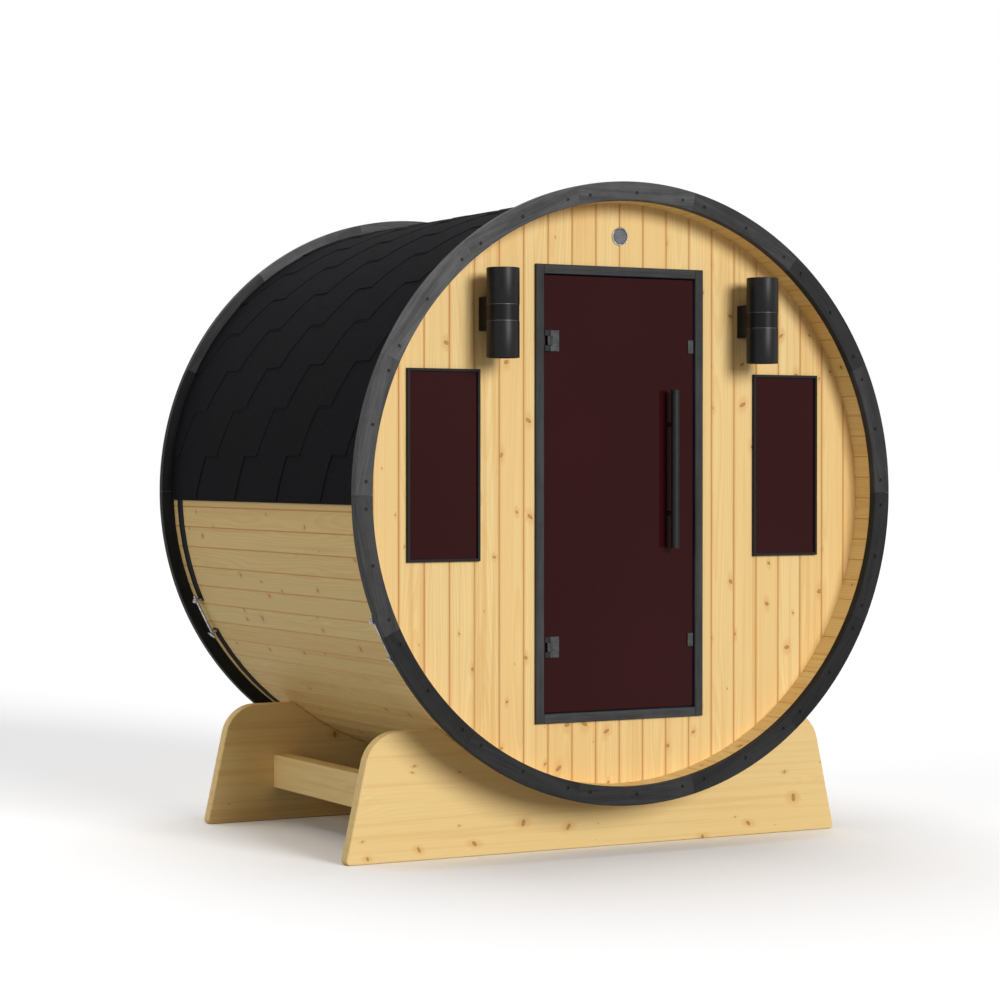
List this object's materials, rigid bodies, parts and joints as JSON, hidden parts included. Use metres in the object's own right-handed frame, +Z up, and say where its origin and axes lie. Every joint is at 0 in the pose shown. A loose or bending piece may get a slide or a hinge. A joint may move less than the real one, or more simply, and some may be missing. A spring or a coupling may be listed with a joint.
{
  "type": "barrel sauna",
  "caption": "Barrel sauna on two cradles: pine staves between black end rings, a shingled roof, a framed glass door between fixed windows, and wall lamps.",
  "frame": {"origin": "on the ground, in the middle of the overall width and depth", "axes": "+Z up, +X to the right seen from the front, +Y to the back; the door is in the -Y end"},
  "size_m": [1.9, 1.5766, 2.0505],
  "materials": {
    "stave_pine": "satin, pale knotty pine staves",
    "wall_pine": "satin, pale knotty pine boards",
    "floor_pine": "matt pine boards",
    "cradle_pine": "satin, pale pine boards",
    "stained_ring": "black stain, grain showing",
    "stained_frame": "black stain, grain showing",
    "strap_steel": "satin black",
    "zinc_steel": "zinc plated",
    "bitumen_shingle": "black mineral granules",
    "window_glass": "dark tinted glass",
    "door_glass": "dark tinted glass",
    "vent_metal": "bright rim, perforated face",
    "lamp_black": "satin black",
    "hinge_metal": "dark grey satin metal",
    "handle_black": "satin black"
  },
  "bodies": {
    "drum": {"stave_panel_01": "stave_pine", "stave_panel_02": "stave_pine", "stave_panel_03": "stave_pine", "stave_panel_04": "stave_pine", "stave_panel_05": "stave_pine", "stave_panel_06": "stave_pine", "stave_panel_07": "stave_pine", "stave_panel_08": "stave_pine", "stave_panel_09": "stave_pine", "stave_panel_10": "stave_pine", "stave_panel_11": "stave_pine", "stave_panel_12": "stave_pine", "stave_panel_13": "stave_pine", "stave_panel_14": "stave_pine", "front_wall_left": "wall_pine", "front_wall_right": "wall_pine", "front_wall_top": "wall_pine", "front_wall_bottom": "wall_pine", "back_wall": "wall_pine", "floor_boards": "floor_pine", "floor_bearers": "floor_pine", "cradle_front": "cradle_pine", "cradle_back": "cradle_pine", "cradle_beams": "cradle_pine", "front_ring": "stained_ring", "back_ring": "stained_ring", "door_jamb_left": "stained_frame", "door_jamb_right": "stained_frame", "door_head": "stained_frame", "door_sill": "stained_frame", "window_frame_left": "stained_frame", "window_frame_right": "stained_frame", "front_strap": "strap_steel", "back_strap": "strap_steel", "strap_tensioners": "zinc_steel", "roof_shingles": "bitumen_shingle", "window_glass_left": "window_glass", "window_glass_right": "window_glass", "vent_grille": "vent_metal", "lamp_left": "lamp_black", "lamp_right": "lamp_black", "hinge_leaves": "hinge_metal"},
    "door": {"door_glass": "door_glass", "hinge_clamps": "hinge_metal", "catch_plates": "hinge_metal", "pull_handle": "handle_black"}
  },
  "joints": [
    {"name": "door_hinge", "type": "hinge", "parent": "drum", "child": "door", "pos_m": [-0.256, -0.64825, 1.1005], "axis": [0, 0, -1], "range_deg": [0, 110]}
  ]
}
